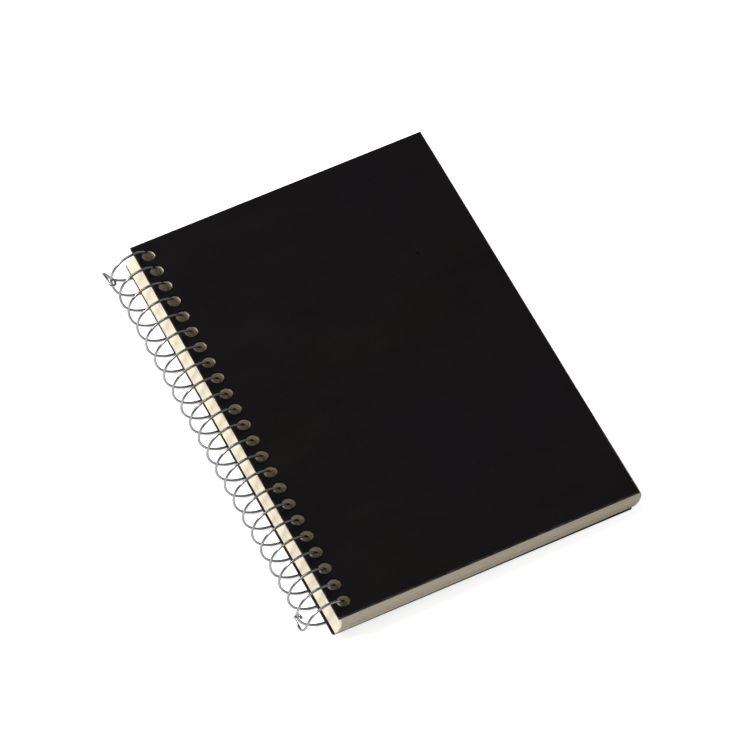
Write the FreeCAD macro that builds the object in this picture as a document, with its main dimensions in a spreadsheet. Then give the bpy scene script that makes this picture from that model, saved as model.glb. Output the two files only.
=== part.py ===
import FreeCAD, Part

import math
import os

import Sketcher
from FreeCAD import Placement, Rotation, Vector

# Pocket notebook: two black card covers and a block of cream sheets on one spiral wire.
# Drawn in the book's own frame and then laid on the table at the end: X runs from the
# front cover's spine edge to its fore-edge, Y from the near edge to the far edge, and
# Z = 0 is the front cover's top face.

# name, value in millimetres (degrees for angles, a plain number for counts), meaning
SIZES = [
    ("cover_length", 150, "covers and sheets, along the spine"),
    ("cover_width", 100, "covers and sheets, from the spine to the fore-edge"),
    ("card_thickness", 0.7, "black card of both covers"),
    ("corner_round", 0.8, "corners of the back cover"),
    ("block_height", 7.1, "pile of sheets"),
    ("block_start", 0.1, "top sheet's spine edge, from the front cover's"),
    ("block_end", -1.2, "bottom sheet's spine edge, from the front cover's"),
    ("block_curve", 5.6, "radius of the pile's spine and fore-edge faces, seen from the end"),
    ("block_askew", 0.25, "degrees the pile is turned under the front cover"),
    ("back_shift", 2.1, "how far the back cover stands out towards the coil"),
    ("pile_along", 0.3, "sheets and back cover, towards the far edge from the front cover"),
    ("hole_count", 23, "holes along the spine"),
    ("hole_pitch", 6.35, "hole spacing"),
    ("hole_diameter", 4.2, "round holes in covers and sheets"),
    ("hole_inset", 3.95, "hole centres from the spine edge, front cover and sheets"),
    ("back_hole_inset", 4.4, "hole centres from the spine edge, back cover"),
    ("wire_diameter", 0.82, "steel wire"),
    ("coil_radius", 7.32, "coil, to the middle of the wire"),
    ("coil_across", 2.42, "coil axis outside the front cover's spine edge"),
    ("coil_depth", 3.5, "coil axis below the front cover's top face"),
    ("coil_phase", -0.4, "wire from the hole's centre, along the spine, in the front cover"),
    ("hook_angle", 158, "degrees round the coil where each end leaves it"),
    ("hook_gap", 0.13, "air between an end hook and the turn it holds"),
]
COIL_STEPS = 16  # points on each turn of the wire's path

doc = FreeCAD.newDocument("spiral_notebook")
sheet = doc.addObject("Spreadsheet::Sheet", "sizes")
for row, (name, value, meaning) in enumerate(SIZES, start=1):
    sheet.set(f"A{row}", name)
    sheet.set(f"B{row}", str(value))
    sheet.set(f"C{row}", meaning)
    sheet.setAlias(f"B{row}", name)
doc.recompute()


def size(name):
    return float(sheet.get(name))


def plane(body, role):
    return next(item for item in body.Origin.OriginFeatures if item.Role == role)


def new_sketch(body, name, role):
    sketch = body.newObject("Sketcher::SketchObject", name)
    sketch.AttachmentSupport = [(plane(body, role), "")]
    sketch.MapMode = "FlatFace"
    return sketch


def bind(sketch, kind, *args):
    """Add a constraint whose last argument is an expression on the sheet."""
    *where, guess, expression = args
    index = sketch.addConstraint(Sketcher.Constraint(kind, *where, guess))
    sketch.setExpression(f"Constraints[{index}]", expression)


def join_ends(sketch, count):
    for edge in range(count):
        sketch.addConstraint(Sketcher.Constraint("Coincident", edge, 2, (edge + 1) % count, 1))


def card_outline(sketch):
    """A rectangle with one corner at the origin, cover_width by cover_length."""
    wide, long = size("cover_width"), size("cover_length")
    corners = [Vector(0, 0, 0), Vector(wide, 0, 0), Vector(wide, long, 0), Vector(0, long, 0)]
    for start, end in zip(corners, corners[1:] + corners[:1]):
        sketch.addGeometry(Part.LineSegment(start, end), False)
    join_ends(sketch, 4)
    for edge in (0, 2):
        sketch.addConstraint(Sketcher.Constraint("Horizontal", edge))
    for edge in (1, 3):
        sketch.addConstraint(Sketcher.Constraint("Vertical", edge))
    sketch.addConstraint(Sketcher.Constraint("Coincident", 0, 1, -1, 1))
    bind(sketch, "DistanceX", 0, 1, 0, 2, wide, "sizes.cover_width")
    bind(sketch, "DistanceY", 1, 1, 1, 2, long, "sizes.cover_length")


def first_hole(sketch, inset):
    """The hole nearest the near edge: the row is centred on the cover's length."""
    span = size("hole_pitch") * (size("hole_count") - 1)
    margin = (size("cover_length") - span) / 2
    centre = Vector(size(inset), margin, 0)
    sketch.addGeometry(Part.Circle(centre, Vector(0, 0, 1), size("hole_diameter") / 2), False)
    bind(sketch, "Diameter", 0, size("hole_diameter"), "sizes.hole_diameter")
    bind(sketch, "DistanceX", -1, 1, 0, 3, centre.x, f"sizes.{inset}")
    row = "sizes.hole_pitch * (sizes.hole_count - 1)"
    bind(sketch, "DistanceY", -1, 1, 0, 3, margin, f"(sizes.cover_length - {row}) / 2")


def repeat_holes(body, feature, direction):
    """Repeat one punched hole along the spine."""
    row = body.newObject("PartDesign::LinearPattern", "hole_row_" + body.Label)
    row.Originals = [feature]
    row.Direction = direction
    row.setExpression("Length", "sizes.hole_pitch * (sizes.hole_count - 1)")
    row.setExpression("Occurrences", "sizes.hole_count")
    body.Tip = row
    return row


def card(label, inset):
    """One cover: flat card below Z = 0 with its row of holes."""
    body = doc.addObject("PartDesign::Body", label)
    body.Label = label
    outline = new_sketch(body, "outline_" + label, "XY_Plane")
    card_outline(outline)
    slab = body.newObject("PartDesign::Pad", "slab_" + label)
    slab.Profile = outline
    slab.Reversed = True
    slab.setExpression("Length", "sizes.card_thickness")
    punch = new_sketch(body, "punch_" + label, "XY_Plane")
    first_hole(punch, inset)
    hole = body.newObject("PartDesign::Pocket", "hole_" + label)
    hole.Profile = punch
    hole.Type = "ThroughAll"
    doc.recompute()
    repeat_holes(body, hole, (punch, ["V_Axis"]))
    doc.recompute()
    return body


def round_corners(body):
    """Round the four upright edges of a cover."""
    base = body.Tip
    upright = [
        f"Edge{index}"
        for index, edge in enumerate(base.Shape.Edges, start=1)
        if edge.Curve.TypeId == "Part::GeomLine" and abs(edge.tangentAt(edge.FirstParameter).z) > 0.99
        and len(edge.Vertexes) == 2 and is_corner(edge)
    ]
    fillet = body.newObject("PartDesign::Fillet", "corners_" + body.Label)
    fillet.Base = (base, upright)
    fillet.setExpression("Radius", "sizes.corner_round")
    body.Tip = fillet
    doc.recompute()


def is_corner(edge):
    point = edge.Vertexes[0].Point
    at_side = min(abs(point.x), abs(point.x - size("cover_width"))) < 1e-6
    at_end = min(abs(point.y), abs(point.y - size("cover_length"))) < 1e-6
    return at_side and at_end


def pile_ends(across):
    """Top and bottom of the curve that the sheets' edges follow down the pile."""
    top = Vector(across + size("block_start"), -size("card_thickness"), 0)
    bottom = Vector(across + size("block_end"), top.y - size("block_height"), 0)
    return top, bottom


def pile_arc(across):
    """That curve: an arc bulging towards the fore-edge, from the pile's bottom up to its top."""
    top, bottom = pile_ends(across)
    chord = top - bottom
    radius = size("block_curve")
    back = math.sqrt(radius**2 - chord.Length**2 / 4)
    centre = (top + bottom) * 0.5 + Vector(-chord.y, chord.x, 0).normalize() * back
    first = math.atan2(bottom.y - centre.y, bottom.x - centre.x)
    last = math.atan2(top.y - centre.y, top.x - centre.x)
    return Part.ArcOfCircle(Part.Circle(centre, Vector(0, 0, 1), radius), first, last)


def pin_arc(sketch, edge, across, expression):
    """Fix an arc's ends and radius. It starts at the pile's bottom and ends at its top."""
    top, bottom = pile_ends(across)
    bind(sketch, "DistanceX", -1, 1, edge, 1, bottom.x, f"{expression} + sizes.block_end")
    bind(sketch, "DistanceX", -1, 1, edge, 2, top.x, f"{expression} + sizes.block_start")
    below = "sizes.card_thickness + sizes.block_height"
    bind(sketch, "DistanceY", edge, 1, -1, 1, -bottom.y, below)
    bind(sketch, "DistanceY", edge, 2, -1, 1, -top.y, "sizes.card_thickness")
    bind(sketch, "Radius", edge, size("block_curve"), "sizes.block_curve")


def page_block():
    """All the sheets as one solid: flat above and below, curved at the spine and fore-edge."""
    body = doc.addObject("PartDesign::Body", "page_block")
    body.Label = "page_block"
    section = new_sketch(body, "section_pages", "XZ_Plane")
    spine_top, spine_bottom = pile_ends(0)
    fore_top, fore_bottom = pile_ends(size("cover_width"))
    section.addGeometry(Part.LineSegment(spine_top, fore_top), False)
    section.addGeometry(pile_arc(size("cover_width")), False)
    section.addGeometry(Part.LineSegment(fore_bottom, spine_bottom), False)
    section.addGeometry(pile_arc(0), False)
    for join in ((0, 2, 1, 2), (1, 1, 2, 1), (2, 2, 3, 1), (3, 2, 0, 1)):
        section.addConstraint(Sketcher.Constraint("Coincident", *join))
    pin_arc(section, 1, size("cover_width"), "sizes.cover_width")
    pin_arc(section, 3, 0, "0")
    pile = body.newObject("PartDesign::Pad", "pile")
    pile.Profile = section
    pile.Reversed = True
    pile.setExpression("Length", "sizes.cover_length")
    doc.recompute()
    repeat_holes(body, *sheet_hole(body))
    doc.recompute()
    return body


def sheet_hole(body):
    """One round hole up through the pile, following the same curve as the sheets' edges."""
    mouth = new_sketch(body, "mouth", "XY_Plane")
    mouth.setExpression("AttachmentOffset.Base.z", "-(sizes.card_thickness + sizes.block_height)")
    row = "sizes.hole_pitch * (sizes.hole_count - 1)"
    margin = (size("cover_length") - size("hole_pitch") * (size("hole_count") - 1)) / 2
    centre = Vector(size("block_end") + size("hole_inset"), margin, 0)
    mouth.addGeometry(Part.Circle(centre, Vector(0, 0, 1), size("hole_diameter") / 2), False)
    bind(mouth, "Diameter", 0, size("hole_diameter"), "sizes.hole_diameter")
    bind(mouth, "DistanceX", -1, 1, 0, 3, centre.x, "sizes.block_end + sizes.hole_inset")
    bind(mouth, "DistanceY", -1, 1, 0, 3, margin, f"(sizes.cover_length - {row}) / 2")
    route = new_sketch(body, "route", "XZ_Plane")
    route.setExpression("AttachmentOffset.Base.z", f"-(sizes.cover_length - {row}) / 2")
    route.addGeometry(pile_arc(size("hole_inset")), False)
    pin_arc(route, 0, size("hole_inset"), "sizes.hole_inset")
    doc.recompute()
    tunnel = body.newObject("PartDesign::SubtractivePipe", "tunnel")
    tunnel.Profile = mouth
    tunnel.Spine = route
    tunnel.Mode = "Fixed"
    doc.recompute()
    return tunnel, (mouth, ["V_Axis"])


def coil_point(degrees, radius, along):
    """A point by its angle round the coil, its distance from the axis and its place along Y."""
    angle = math.radians(degrees)
    return Vector(
        radius * math.cos(angle) - size("coil_across"),
        along,
        radius * math.sin(angle) - size("coil_depth"),
    )


def coil_along(degrees):
    """The wire's place along Y. It passes the far hole of the front cover near 0 degrees."""
    half_span = size("hole_pitch") * (size("hole_count") - 1) / 2
    rise = size("coil_depth") - size("card_thickness") / 2
    at_cover = math.degrees(math.asin(rise / size("coil_radius")))
    start = size("cover_length") / 2 + half_span + size("coil_phase")
    return start - size("hole_pitch") * (degrees - at_cover) / 360


def hook_points(leave):
    """The near end's path: out of the coil, back along it, and round the turn before."""
    radius = size("coil_radius")
    reach = size("wire_diameter") + size("hook_gap")
    hold = leave + 29
    start = coil_along(leave)
    held = coil_along(hold - 360)
    outside = radius + reach
    points = [
        coil_point(leave, radius, start),
        coil_point(leave + 14, radius + 0.45 * reach, start + 0.1),
        coil_point(leave + 25, outside, start + 0.22 * (held - start)),
        coil_point(leave + 30, outside, start + 0.55 * (held - start)),
    ]
    for turned in range(0, 181, 45):
        angle = math.radians(turned)
        points.append(coil_point(hold, radius + reach * math.cos(angle), held + reach * math.sin(angle)))
    points.append(coil_point(hold, radius - reach, held - reach))
    return points


def flipped(point, middle):
    """The same place turned half a turn about the X-wise line through the coil's middle."""
    return Vector(point.x, 2 * middle - point.y, -2 * size("coil_depth") - point.z)


def wire_path():
    """The whole wire's centre line, far hook, turns and near hook: one smooth curve, cut at each turn."""
    turns = int(size("hole_count"))
    leave = size("hook_angle") + 360 * (turns - 1)
    enter = -size("hook_angle")
    middle = (coil_along(enter) + coil_along(leave)) / 2
    near = hook_points(leave)
    far = [flipped(point, middle) for point in reversed(near)]
    coil = []
    steps = turns * COIL_STEPS
    for step in range(steps + 1):
        degrees = enter + (leave - enter) * step / steps
        coil.append(coil_point(degrees, size("coil_radius"), coil_along(degrees)))
    curve = Part.BSplineCurve()
    curve.interpolate(Points=far[:-1] + coil + near[1:])
    cuts = [curve.FirstParameter]
    cuts += [curve.parameter(point) for point in coil[::COIL_STEPS]]
    cuts.append(curve.LastParameter)
    return Part.Wire([curve.toShape(begin, end) for begin, end in zip(cuts, cuts[1:])])


def spiral_wire():
    """One length of steel wire along the path."""
    path = wire_path()
    start = path.Edges[0]
    origin = start.valueAt(start.FirstParameter)
    direction = start.tangentAt(start.FirstParameter)
    rim = Part.Circle(origin, direction, size("wire_diameter") / 2).toShape()
    solid = path.makePipeShell([Part.Wire([rim])], True, False)
    expected = math.pi * size("wire_diameter") ** 2 / 4 * path.Length
    if abs(solid.Volume - expected) > 0.02 * expected:
        raise RuntimeError(f"the wire's volume is {solid.Volume:.1f}, not {expected:.1f}")
    feature = doc.addObject("Part::Feature", "spiral_wire")
    feature.Label = "spiral_wire"
    feature.Shape = solid
    return feature


def table_tilt():
    """Degrees from the front cover to the table: the book rests on its coil and its fore-edge."""
    run = size("cover_width") - size("back_shift") + size("coil_across")
    total = 2 * size("card_thickness") + size("block_height")
    drop = total - size("coil_depth")
    outer = size("coil_radius") + size("wire_diameter") / 2
    return math.degrees(math.asin(outer / math.hypot(run, drop)) - math.atan2(drop, run))


def laid_down(objects):
    """The placement that lays the book on the table, its outline centred on the origin."""
    turn = Placement(Vector(), Rotation(Vector(0, 1, 0), table_tilt()))
    turned = Part.makeCompound([item.Shape for item in objects])
    turned.Placement = turn.multiply(turned.Placement)
    box = turned.optimalBoundingBox(False, False)
    centre = Vector((box.XMin + box.XMax) / 2, (box.YMin + box.YMax) / 2, box.ZMin)
    return Placement(centre * -1, Rotation()).multiply(turn)


front = card("front_cover", "hole_inset")
back = card("back_cover", "back_hole_inset")
round_corners(back)
pages = page_block()
wire = spiral_wire()

# The back cover lies under the pile and stands out towards the coil. Both lie a little
# nearer the far edge than the front cover, and the pile is turned slightly about its middle.
drop = size("card_thickness") + size("block_height")
along = size("pile_along")
back.Placement = Placement(Vector(-size("back_shift"), along, -drop), Rotation())
middle = Vector(size("cover_width") / 2, size("cover_length") / 2, 0)
pages.Placement = Placement(Vector(0, along, 0), Rotation(Vector(0, 0, 1), size("block_askew")), middle)
doc.recompute()

parts = [front, pages, back, wire]
lay = laid_down(parts)
for item in parts:
    item.Placement = lay.multiply(item.Placement)
doc.recompute()

for item in doc.Objects:
    if {"Invalid", "Error"} & set(item.State):
        raise RuntimeError(f"{item.Label} is {item.State}")
for item in parts:
    if item.Shape.isNull() or not item.Shape.isValid() or len(item.Shape.Solids) != 1:
        raise RuntimeError(f"{item.Label} has no valid solid")

# The holes are cut right through: each takes at least nine tenths of a plain round hole's volume.
slab_volume = size("cover_width") * size("cover_length") * size("card_thickness")
hole_volume = math.pi * size("hole_diameter") ** 2 / 4 * size("hole_count")
if slab_volume - front.Shape.Volume < 0.9 * hole_volume * size("card_thickness"):
    raise RuntimeError("the front cover's holes are missing")
pile_volume = doc.getObject("pile").Shape.Volume
if pile_volume - pages.Shape.Volume < 0.9 * hole_volume * size("block_height"):
    raise RuntimeError("the sheets' holes are missing")

os.makedirs("parts", exist_ok=True)
for item in parts:
    item.Shape.exportStep(f"parts/{item.Label}.step")
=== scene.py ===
import math
import random

import bpy
import numpy as np
from mathutils import Matrix, Vector, geometry


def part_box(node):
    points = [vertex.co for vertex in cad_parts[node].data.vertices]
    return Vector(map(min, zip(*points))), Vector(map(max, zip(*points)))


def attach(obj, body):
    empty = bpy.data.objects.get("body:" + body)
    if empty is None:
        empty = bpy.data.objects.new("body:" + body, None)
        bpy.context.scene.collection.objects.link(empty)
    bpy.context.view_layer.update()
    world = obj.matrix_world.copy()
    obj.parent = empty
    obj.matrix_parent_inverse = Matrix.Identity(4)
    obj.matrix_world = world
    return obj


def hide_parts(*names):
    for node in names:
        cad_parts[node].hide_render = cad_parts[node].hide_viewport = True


# A closed spiral notebook: black card covers, a pile of cream sheets and a steel wire coil.
# The sheets and the wire are built here in the book's own frame, in millimetres: X from the
# front cover's spine edge, Y from its near edge, Z = 0 at its top face. BOOK lays them down.

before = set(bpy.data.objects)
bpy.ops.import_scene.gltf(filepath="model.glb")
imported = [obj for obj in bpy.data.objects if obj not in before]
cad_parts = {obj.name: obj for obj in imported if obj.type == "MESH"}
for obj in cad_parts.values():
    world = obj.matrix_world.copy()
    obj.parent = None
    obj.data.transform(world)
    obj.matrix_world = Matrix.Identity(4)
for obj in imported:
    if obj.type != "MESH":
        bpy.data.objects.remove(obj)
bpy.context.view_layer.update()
rng = random.Random(23)

MM = 0.001
# the closed book leans on the lowest turns of its coil
TILT = math.radians(1.56044)
BOOK = (
    Matrix.Translation((-0.0449054, -0.0752606, 0.0111629))
    @ Matrix.Rotation(TILT, 4, "Y")
    @ Matrix.Scale(MM, 4)
)

LENGTH, WIDTH = 150.0, 100.0
CARD = 0.7
HOLES, PITCH, HOLE_R, INSET = 23, 6.35, 2.1, 3.95
MARGIN = (LENGTH - PITCH * (HOLES - 1)) / 2
HOLE_SIDES = 20

# The pile's thickness, its top and bottom sheets' X, the radius of its curved edges, its turn
# in degrees and its shift along the spine
PILE = 7.1
PILE_START, PILE_END, PILE_CURVE = 0.1, -1.65, 5.6
PILE_ASKEW, PILE_ALONG = 0.25, 0.3
SHEETS = 70
# how much of its share of the pile a sheet fills; the rest is the gap to the next one
SHEET_FILL = 0.93
# taken off the fore edge and the far end, so that slipped sheets stay within the solid pile
SHEET_TRIM = 0.15
# spread of the sheets' slips across and along the spine, and of their turns in radians
SLIP_ACROSS, SLIP_ALONG, SLIP_TURN = 0.035, 0.045, 0.00018

WIRE_R, COIL_R = 0.41, 7.32
WIRE_SIDES, WIRE_STEP, COIL_STEPS = 14, 0.8, 16
# the wire's cut ends: how far they stand out, and how much narrower they are there
TIP_OUT, TIP_NARROW = 0.06, 0.72
COIL_X, COIL_Z, COIL_PHASE = -2.42, -3.5, -0.4
# Each end of the wire leaves its own turn at this angle and hooks round the turn beside it.
# The gap is between the hook and that turn.
HOOK_ANGLE, HOOK_GAP = 158, 0.13
# In degrees past where it leaves: where it is part of the way out, and where it holds on.
HOOK_RISE, HOOK_HOLD = 14, 29
# between them, outside the coil: degrees past where it leaves, and share of the way along
HOOK_ALONG = [(25, 0.22), (30, 0.55)]


# Objects and node helpers

def add_mesh(name, verts, faces, smooth=False):
    mesh = bpy.data.meshes.new(name)
    mesh.from_pydata([tuple(v) for v in verts], [], faces)
    mesh.validate()
    mesh.update()
    if smooth:
        mesh.polygons.foreach_set("use_smooth", [True] * len(mesh.polygons))
    obj = bpy.data.objects.new(name, mesh)
    bpy.context.scene.collection.objects.link(obj)
    return obj


class Nodes:
    """A material's node tree with short calls for what this scene uses."""

    def __init__(self, name):
        self.material = bpy.data.materials.new(name)
        self.material.use_nodes = True
        self.tree = self.material.node_tree
        self.bsdf = self.tree.nodes["Principled BSDF"]
        self.out = self.tree.nodes["Material Output"]
        self.place = self.add("ShaderNodeTexCoord").outputs["Object"]

    def add(self, kind, **settings):
        node = self.tree.nodes.new(kind)
        for key, value in settings.items():
            setattr(node, key, value)
        return node

    def feed(self, socket, value):
        if isinstance(value, bpy.types.NodeSocket):
            self.tree.links.new(value, socket)
        else:
            socket.default_value = value

    def scaled(self, x, y, z):
        node = self.add("ShaderNodeMapping")
        self.feed(node.inputs["Vector"], self.place)
        node.inputs["Scale"].default_value = (x, y, z)
        return node.outputs["Vector"]

    def noise(self, scale, detail, rough, at=None):
        node = self.add("ShaderNodeTexNoise")
        self.feed(node.inputs["Vector"], at or self.place)
        node.inputs["Scale"].default_value = scale
        node.inputs["Detail"].default_value = detail
        node.inputs["Roughness"].default_value = rough
        return node.outputs["Fac"]

    def ramp(self, value, low, high, to_low=0.0, to_high=1.0):
        node = self.add("ShaderNodeMapRange")
        self.feed(node.inputs["Value"], value)
        node.inputs["From Min"].default_value = low
        node.inputs["From Max"].default_value = high
        node.inputs["To Min"].default_value = to_low
        node.inputs["To Max"].default_value = to_high
        return node.outputs["Result"]

    def math(self, operation, a, b):
        node = self.add("ShaderNodeMath", operation=operation)
        self.feed(node.inputs[0], a)
        self.feed(node.inputs[1], b)
        return node.outputs[0]

    def mix(self, factor, a, b):
        node = self.add("ShaderNodeMix", data_type="RGBA")
        self.feed(node.inputs["Factor"], factor)
        self.feed(node.inputs["A"], a)
        self.feed(node.inputs["B"], b)
        return node.outputs["Result"]

    def bump(self, height, strength, distance):
        node = self.add("ShaderNodeBump")
        self.feed(node.inputs["Height"], height)
        node.inputs["Strength"].default_value = strength
        node.inputs["Distance"].default_value = distance
        self.feed(self.bsdf.inputs["Normal"], node.outputs["Normal"])

    def plan(self):
        """The object's X and Y."""
        node = self.add("ShaderNodeSeparateXYZ")
        self.feed(node.inputs[0], self.place)
        return node.outputs["X"], node.outputs["Y"]

    def within(self, value, span):
        """How far inside a span of two numbers the value is."""
        from_low = self.math("SUBTRACT", value, span[0])
        return self.math("MINIMUM", from_low, self.math("SUBTRACT", span[1], value))


# Materials

# the speck on the front cover: its centre and half widths, in metres
SPECK = (0.03383, 0.0330, 0.00042, 0.00095)
# how far in from its edges the card is rubbed, in metres
WEAR = 0.00045


def card_material(name, box, speck=None):
    """Matte black dyed card: mottled, faintly fibrous, rubbed paler along its edges."""
    n = Nodes(name)
    x, y = n.plan()
    cloud = n.noise(1.0, 5, 0.62, n.scaled(38, 95, 60))
    tint = n.noise(16, 3, 0.5)
    fibre = n.noise(1.0, 4, 0.65, n.scaled(900, 2600, 900))
    grain = n.noise(5200, 2, 0.5)
    deep, faded = (0.0026, 0.0018, 0.0019, 1), (0.0060, 0.0044, 0.0042, 1)
    base = n.mix(n.ramp(cloud, 0.32, 0.68), deep, faded)
    base = n.mix(n.ramp(tint, 0.40, 0.66, 0, 0.6), base, (0.0042, 0.0034, 0.0050, 1))
    base = n.mix(n.ramp(fibre, 0.56, 0.78, 0, 0.55), base, (0.012, 0.0098, 0.0102, 1))
    base = n.mix(n.ramp(grain, 0.60, 0.80, 0, 0.35), base, (0.015, 0.0128, 0.0132, 1))
    side = n.within(x, (box[0].x, box[1].x))
    inside = n.math("MINIMUM", side, n.within(y, (box[0].y, box[1].y)))
    wear = n.ramp(inside, 0.0, WEAR, 1.0, 0.0)
    patch = n.ramp(n.noise(420, 3, 0.6), 0.42, 0.66, 0.15, 0.9)
    base = n.mix(n.math("MULTIPLY", wear, patch), base, (0.060, 0.053, 0.050, 1))
    if speck:
        across, along, half_across, half_along = speck
        shift = n.add("ShaderNodeVectorMath", operation="SUBTRACT")
        n.feed(shift.inputs[0], n.scaled(1 / half_across, 1 / half_along, 0))
        shift.inputs[1].default_value = (across / half_across, along / half_along, 0)
        away = n.add("ShaderNodeVectorMath", operation="LENGTH")
        n.feed(away.inputs[0], shift.outputs["Vector"])
        mark = n.ramp(away.outputs["Value"], 0.75, 1.1, 1.0, 0.0)
        base = n.mix(mark, base, (0.0006, 0.0005, 0.0005, 1))
    n.feed(n.bsdf.inputs["Base Color"], base)
    n.feed(n.bsdf.inputs["Roughness"], n.ramp(cloud, 0.3, 0.7, 0.62, 0.74))
    n.bsdf.inputs["Specular IOR Level"].default_value = 0.06
    n.bump(n.math("ADD", fibre, n.math("MULTIPLY", grain, 0.6)), 0.35, 0.00004)
    return n.material


def paper_material():
    """Uncoated cream paper, whose tone differs a little from sheet to sheet, with painted shade
    in fine dark lines between the sheets.
    """
    n = Nodes("cream_paper")
    fibre = n.noise(2600, 3, 0.6)
    # from here on the texture's axes follow the sheets
    level = n.add("ShaderNodeMapping")
    n.feed(level.inputs["Vector"], n.place)
    level.inputs["Rotation"].default_value = (0, -TILT, 0)
    n.place = level.outputs["Vector"]
    # painted shade: thin dark lines across the pile's edges that stand in for the shade in the
    # gaps between sheets; the same lines also drive the bump
    painted_gap_lines = n.noise(1.0, 2, 0.7, n.scaled(6, 6, 7200))
    broad = n.noise(1.0, 2, 0.5, n.scaled(9, 9, 1300))
    base = n.mix(n.ramp(broad, 0.3, 0.7), (0.835, 0.765, 0.625, 1), (0.865, 0.80, 0.67, 1))
    # the dark brown here is painted shade between the sheets
    base = n.mix(n.ramp(painted_gap_lines, 0.46, 0.70, 0, 0.62), base, (0.52, 0.43, 0.30, 1))
    base = n.mix(n.ramp(fibre, 0.58, 0.8, 0, 0.25), base, (0.92, 0.88, 0.78, 1))
    n.feed(n.bsdf.inputs["Base Color"], base)
    n.bsdf.inputs["Roughness"].default_value = 0.9
    n.bsdf.inputs["Specular IOR Level"].default_value = 0.15
    n.bump(n.math("ADD", painted_gap_lines, n.math("MULTIPLY", fibre, 0.3)), 0.25, 0.00006)
    return n.material


def wire_material():
    """Bright drawn steel, with faint draw marks and a few duller patches."""
    n = Nodes("drawn_steel")
    patch = n.noise(260, 3, 0.6)
    marks = n.noise(4200, 2, 0.5)
    base = n.mix(n.ramp(patch, 0.35, 0.7), (0.24, 0.245, 0.25, 1), (0.34, 0.345, 0.35, 1))
    n.feed(n.bsdf.inputs["Base Color"], base)
    n.bsdf.inputs["Metallic"].default_value = 1.0
    n.bsdf.inputs["Specular Tint"].default_value = (0.16, 0.165, 0.17, 1)
    n.feed(n.bsdf.inputs["Roughness"], n.ramp(marks, 0.3, 0.75, 0.17, 0.30))
    n.bump(marks, 0.12, 0.00002)
    return n.material


# The pile of sheets

def pile_centre():
    """Centre of the arc that the sheets' spine edges follow, as X and Z."""
    top = Vector((PILE_START, -CARD))
    bottom = Vector((PILE_END, -CARD - PILE))
    chord = top - bottom
    back = math.sqrt(PILE_CURVE**2 - chord.length_squared / 4)
    return (top + bottom) / 2 + Vector((-chord.y, chord.x)).normalized() * back


def pile_offset(z, centre):
    """X of the sheets' spine edges at a height."""
    return centre.x + math.sqrt(PILE_CURVE**2 - (z - centre.y) ** 2)


def sheet_outline():
    """One sheet as loops of plan points, the outline and then each hole."""
    right, far = WIDTH - SHEET_TRIM, LENGTH - SHEET_TRIM
    loops = [[(0, 0), (right, 0), (right, far), (0, far)]]
    for hole in range(HOLES):
        middle = MARGIN + PITCH * hole
        loop = []
        for k in range(HOLE_SIDES):
            angle = 2 * math.pi * k / HOLE_SIDES
            loop.append((INSET + HOLE_R * math.cos(angle), middle + HOLE_R * math.sin(angle)))
        loops.append(loop)
    return loops


def sheet_faces(loops):
    """A sheet's plan points, its triangles turned upwards, and its walls' edges."""
    flat = [point for loop in loops for point in loop]
    solid_loops = [[Vector((x, y, 0)) for x, y in loop] for loop in loops]
    triangles = []
    for a, b, c in geometry.tessellate_polygon(solid_loops):
        (ax, ay), (bx, by), (cx, cy) = flat[a], flat[b], flat[c]
        up = (bx - ax) * (cy - ay) - (by - ay) * (cx - ax)
        triangles.append((a, b, c) if up > 0 else (a, c, b))
    walls = []
    start = 0
    for index, loop in enumerate(loops):
        size = len(loop)
        for k in range(size):
            a, b = start + k, start + (k + 1) % size
            walls.append((a, b) if index == 0 else (b, a))
        start += size
    return flat, triangles, walls


def build_sheets():
    """Every sheet is a thin slab with its row of holes, a little out of line with the next."""
    flat, triangles, walls = sheet_faces(sheet_outline())
    count = len(flat)
    centre = pile_centre()
    turn = math.radians(PILE_ASKEW)
    verts, faces = [], []
    pitch = PILE / SHEETS
    for number in range(SHEETS):
        top = -CARD - pitch * number
        across = pile_offset(top - pitch / 2, centre)
        slip_x, slip_y = rng.gauss(0, SLIP_ACROSS), rng.gauss(0, SLIP_ALONG)
        yaw = turn + rng.gauss(0, SLIP_TURN)
        for depth in (0.0, pitch * SHEET_FILL):
            for x, y in flat:
                u, v = x - WIDTH / 2, y - LENGTH / 2
                px = u * math.cos(yaw) - v * math.sin(yaw) + WIDTH / 2 + across + slip_x
                py = u * math.sin(yaw) + v * math.cos(yaw) + LENGTH / 2 + PILE_ALONG + slip_y
                verts.append(BOOK @ Vector((px, py, top - depth)))
        base = number * 2 * count
        for a, b, c in triangles:
            faces.append((base + a, base + b, base + c))
            faces.append((base + count + a, base + count + c, base + count + b))
        for a, b in walls:
            faces.append((base + a, base + count + a, base + count + b, base + b))
    return add_mesh("sheets", verts, faces)


# The wire

# How far each turn stands off its even place along the coil, far end first, in millimetres.
WANDER = [
    1.35, 1.15, 1.00, 0.78, 0.50, 0.23, -0.08, -0.25, -0.27, -0.24, -0.09, 0.0,
    0.05, 0.12, 0.33, -0.16, -0.26, -0.40, -0.44, -0.48, -0.44, -0.14, 0.02,
]
# Beyond these the wire would catch the rims of the front cover's and the back cover's holes.
OVER_LEAST, UNDER_MOST = -0.18, 0.0
# Parts of a turn, counted from the front cover's hole and round the outside. The front cover
# swings over the wire before the first, the back cover over the wire after the second, and
# after the third the wire is inside the sheets.
SPINE_SIDE, UNDER_SIDE, IN_SHEETS = 0.36, 0.52, 0.88
# where round the coil the wire passes through the closed front cover, in degrees
CROSSING = math.degrees(math.asin((-CARD / 2 - COIL_Z) / COIL_R))


def coil_point(degrees, radius, along):
    angle = math.radians(degrees)
    return np.array([COIL_X + radius * math.cos(angle), along, COIL_Z + radius * math.sin(angle)])


def ease(low, high, part):
    """From low to high as the part goes from 0 to 1, starting and ending gently."""
    return low + (high - low) * part * part * (3 - 2 * part)


def turn_offset(turn):
    return WANDER[min(max(turn, 0), HOLES - 1)]


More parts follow.
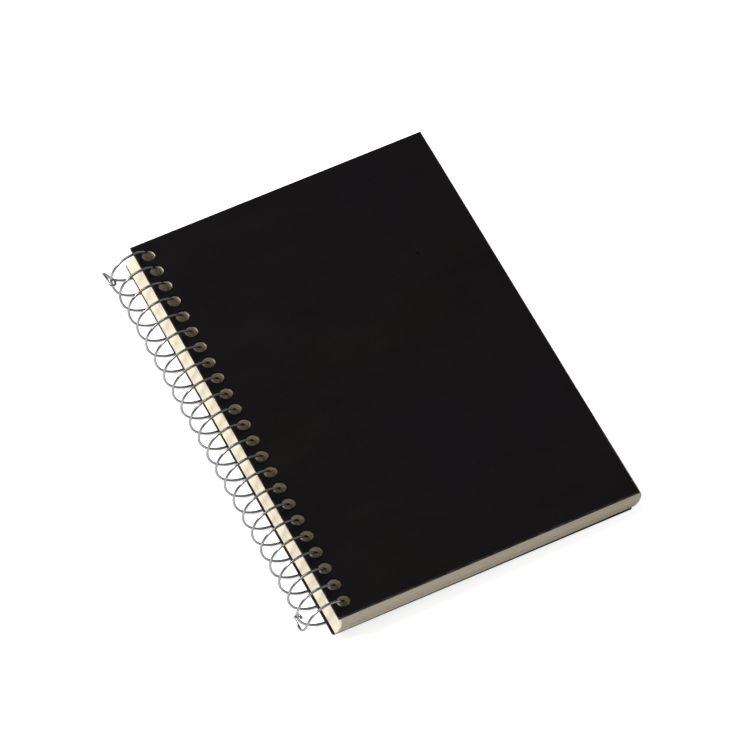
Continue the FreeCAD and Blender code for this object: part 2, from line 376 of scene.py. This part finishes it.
def wander(degrees):
    """How far the wire is pushed along the coil, the same all the way that each cover swings."""
    turn = math.floor((degrees - CROSSING) / 360)
    part = (degrees - CROSSING) / 360 - turn
    over, over_next = (max(turn_offset(k), OVER_LEAST) for k in (turn, turn + 1))
    under = min(turn_offset(turn + 1), UNDER_MOST)
    if part < SPINE_SIDE:
        return over
    if part < UNDER_SIDE:
        return ease(over, under, (part - SPINE_SIDE) / (UNDER_SIDE - SPINE_SIDE))
    if part < IN_SHEETS:
        return under
    return ease(under, over_next, (part - IN_SHEETS) / (1 - IN_SHEETS))


def coil_along(degrees):
    """Y of the wire on an even coil, which starts at the farthest hole."""
    start = LENGTH / 2 + PITCH * (HOLES - 1) / 2 + COIL_PHASE
    return start - PITCH * (degrees - CROSSING) / 360


def hook_points(leave):
    """From where the wire leaves its last turn, outwards, and round the turn before."""
    reach = 2 * WIRE_R + HOOK_GAP
    hold = leave + HOOK_HOLD
    start, held = coil_along(leave), coil_along(hold - 360)
    points = [
        coil_point(leave, COIL_R, start),
        coil_point(leave + HOOK_RISE, COIL_R + 0.45 * reach, start + 0.1),
    ]
    for past, share in HOOK_ALONG:
        points.append(coil_point(leave + past, COIL_R + reach, start + share * (held - start)))
    for turned in range(0, 181, 45):
        angle = math.radians(turned)
        along = held + reach * math.sin(angle)
        points.append(coil_point(hold, COIL_R + reach * math.cos(angle), along))
    points.append(coil_point(hold, COIL_R - reach, held - reach))
    return points


def wire_points():
    """The wire's centre line: the far hook, the coil and the near hook."""
    leave = HOOK_ANGLE + 360 * (HOLES - 1)
    enter = -HOOK_ANGLE
    middle = (coil_along(enter) + coil_along(leave)) / 2
    near = hook_points(leave)
    # the far hook is the near one turned by half a turn
    far = [np.array([p[0], 2 * middle - p[1], 2 * COIL_Z - p[2]]) for p in reversed(near)]
    steps = HOLES * COIL_STEPS
    coil = []
    for step in range(steps + 1):
        degrees = enter + (leave - enter) * step / steps
        coil.append(coil_point(degrees, COIL_R, coil_along(degrees) + wander(degrees)))
    far = [p + np.array([0, wander(enter), 0]) for p in far]
    near = [p + np.array([0, wander(leave), 0]) for p in near]
    return np.array(far[:-1] + coil + near[1:])


def smooth_curve(points, spacing):
    """A natural cubic spline through the points, sampled evenly."""
    chord = np.linalg.norm(np.diff(points, axis=0), axis=1)
    t = np.concatenate([[0], np.cumsum(chord)])
    n = len(t)
    h = np.diff(t)
    system = np.zeros((n, n))
    right = np.zeros((n, 3))
    system[0, 0] = system[-1, -1] = 1
    for i in range(1, n - 1):
        system[i, i - 1], system[i, i], system[i, i + 1] = h[i - 1], 2 * (h[i - 1] + h[i]), h[i]
        after, before = points[i + 1] - points[i], points[i] - points[i - 1]
        right[i] = 6 * (after / h[i] - before / h[i - 1])
    second = np.linalg.solve(system, right)
    where = np.linspace(0, t[-1], int(t[-1] / spacing) + 1)
    i = np.clip(np.searchsorted(t, where) - 1, 0, n - 2)
    a = ((t[i + 1] - where) / h[i])[:, None]
    b = 1 - a
    bend = ((a**3 - a) * second[i] + (b**3 - b) * second[i + 1]) * (h[i] ** 2 / 6)[:, None]
    return a * points[i] + b * points[i + 1] + bend


def build_wire():
    """A round tube along the wire's centre line, closed with slightly rounded cut ends."""
    line = smooth_curve(wire_points(), WIRE_STEP)
    tangent = np.gradient(line, axis=0)
    tangent /= np.linalg.norm(tangent, axis=1)[:, None]
    normal = np.cross(tangent[0], [0, 0, 1.0])
    normal /= np.linalg.norm(normal)
    rings = []
    for point, along in zip(line, tangent):
        normal = normal - along * normal.dot(along)
        normal /= np.linalg.norm(normal)
        side = np.cross(along, normal)
        rings.append((point, along, normal, side))
    first, last = rings[0], rings[-1]
    stations = [(first[0] - first[1] * TIP_OUT, first, TIP_NARROW)]
    stations += [(ring[0], ring, 1.0) for ring in rings]
    stations.append((last[0] + last[1] * TIP_OUT, last, TIP_NARROW))
    verts, faces = [], []
    for place, (_, _, normal, side), grow in stations:
        for k in range(WIRE_SIDES):
            angle = 2 * math.pi * k / WIRE_SIDES
            offset = (normal * math.cos(angle) + side * math.sin(angle)) * WIRE_R * grow
            verts.append(BOOK @ Vector(place + offset))
    for row in range(len(stations) - 1):
        for k in range(WIRE_SIDES):
            a, b = row * WIRE_SIDES + k, row * WIRE_SIDES + (k + 1) % WIRE_SIDES
            faces.append((a, b, b + WIRE_SIDES, a + WIRE_SIDES))
    faces.append(tuple(reversed(range(WIRE_SIDES))))
    tail = (len(stations) - 1) * WIRE_SIDES
    faces.append(tuple(tail + k for k in range(WIRE_SIDES)))
    return add_mesh("coil", verts, faces, smooth=True)


# Pieces

def set_material(obj, material):
    if not obj.material_slots:
        obj.data.materials.append(material)
    for slot in obj.material_slots:
        slot.material = material


front_card = card_material("front_card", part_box("front_cover"), SPECK)
back_card = card_material("back_card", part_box("back_cover"))
set_material(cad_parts["front_cover"], front_card)
set_material(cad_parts["back_cover"], back_card)

sheets = build_sheets()
set_material(sheets, paper_material())
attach(sheets, "bound_block")
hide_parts("page_block")

coil = build_wire()
set_material(coil, wire_material())
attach(coil, "bound_block")
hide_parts("spiral_wire")


# Floor, world, lamps and camera

FLOOR_HALF, FLOOR_GLOW = 12.0, 0.75
SKY = 0.28


def add_glow(n, strength):
    """Adds plain white where the camera or a shiny or clear surface sees the material."""
    path = n.add("ShaderNodeLightPath")
    seen = n.math("MAXIMUM", path.outputs["Is Camera Ray"], path.outputs["Is Glossy Ray"])
    seen = n.math("MAXIMUM", seen, path.outputs["Is Transmission Ray"])
    glow = n.add("ShaderNodeEmission")
    n.feed(glow.inputs["Strength"], n.math("MULTIPLY", seen, strength))
    both = n.add("ShaderNodeAddShader")
    n.feed(both.inputs[0], n.bsdf.outputs[0])
    n.feed(both.inputs[1], glow.outputs[0])
    n.feed(n.out.inputs["Surface"], both.outputs[0])


def build_floor():
    near, far = -FLOOR_HALF, FLOOR_HALF
    corners = [(near, near, 0), (far, near, 0), (far, far, 0), (near, far, 0)]
    floor = add_mesh("floor", corners, [(0, 1, 2, 3)])
    n = Nodes("pale_floor")
    shade = n.mix(n.noise(3, 2, 0.55), (0.80, 0.80, 0.81, 1), (0.84, 0.84, 0.85, 1))
    n.feed(n.bsdf.inputs["Base Color"], shade)
    n.bsdf.inputs["Roughness"].default_value = 0.9
    n.bsdf.inputs["Specular IOR Level"].default_value = 0.0
    add_glow(n, FLOOR_GLOW)
    set_material(floor, n.material)


def build_world():
    world = bpy.data.worlds.new("studio")
    bpy.context.scene.world = world
    world.use_nodes = True
    sky = world.node_tree.nodes["Background"]
    sky.inputs["Color"].default_value = (1.0, 1.0, 1.0, 1)
    sky.inputs["Strength"].default_value = SKY


def area_lamp(name, place, aim, size, power):
    data = bpy.data.lights.new(name, "AREA")
    data.shape = "RECTANGLE"
    data.size, data.size_y = size
    data.energy = power
    lamp = bpy.data.objects.new(name, data)
    bpy.context.scene.collection.objects.link(lamp)
    lamp.location = place
    lamp.rotation_euler = (Vector(aim) - Vector(place)).to_track_quat("-Z", "Y").to_euler()


build_floor()
build_world()
area_lamp("key", (-0.80, 0.36, 0.86), (0, 0, 0), (0.4, 0.4), 11)
# a long strip over the spine, for the bright line on each turn of the wire
area_lamp("strip", (-0.40, 0.35, 1.15), (-0.40, 0, 0), (1.3, 0.2), 7)

camera_data = bpy.data.cameras.new("camera")
camera_data.sensor_width = 36
camera_data.lens = 259.845
camera_data.clip_end = 20
camera = bpy.data.objects.new("camera", camera_data)
bpy.context.scene.collection.objects.link(camera)
camera.location = (-0.333530, -0.842174, 1.386112)
camera.rotation_euler = [math.radians(a) for a in (33.237, 2.609, -25.762)]
bpy.context.scene.camera = camera
bpy.context.scene.view_settings.view_transform = "Standard"
